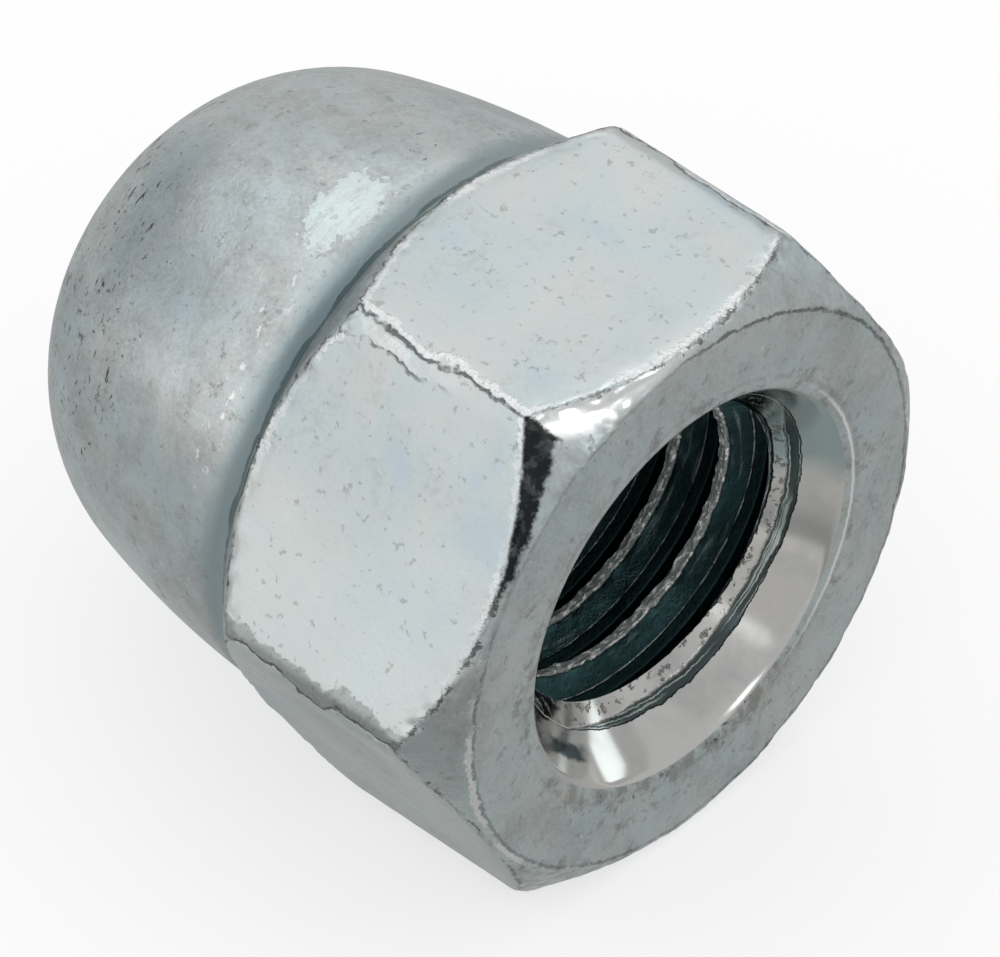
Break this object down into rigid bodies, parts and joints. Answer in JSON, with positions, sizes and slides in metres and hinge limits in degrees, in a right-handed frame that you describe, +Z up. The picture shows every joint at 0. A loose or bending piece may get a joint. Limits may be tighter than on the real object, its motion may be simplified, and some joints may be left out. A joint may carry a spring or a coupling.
{
  "type": "cap nut",
  "caption": "Zinc-plated steel cap nut: a chamfered hexagon with a domed closed end and a blind threaded hole with a countersunk mouth.",
  "frame": {"origin": "centre of the bearing face, on the axis of the thread", "axes": "+X out of the mouth along the thread, so the dome points to -X; +Z up, out of the upper flat; the nut lies on the opposite flat"},
  "size_m": [0.0149, 0.0148, 0.013],
  "materials": {
    "zinc_plated_steel": "dull bluish zinc plating over steel, with small pits, scuffs and brighter worn edges"
  },
  "bodies": {
    "root": {"cap_nut": "zinc_plated_steel"}
  },
  "joints": []
}
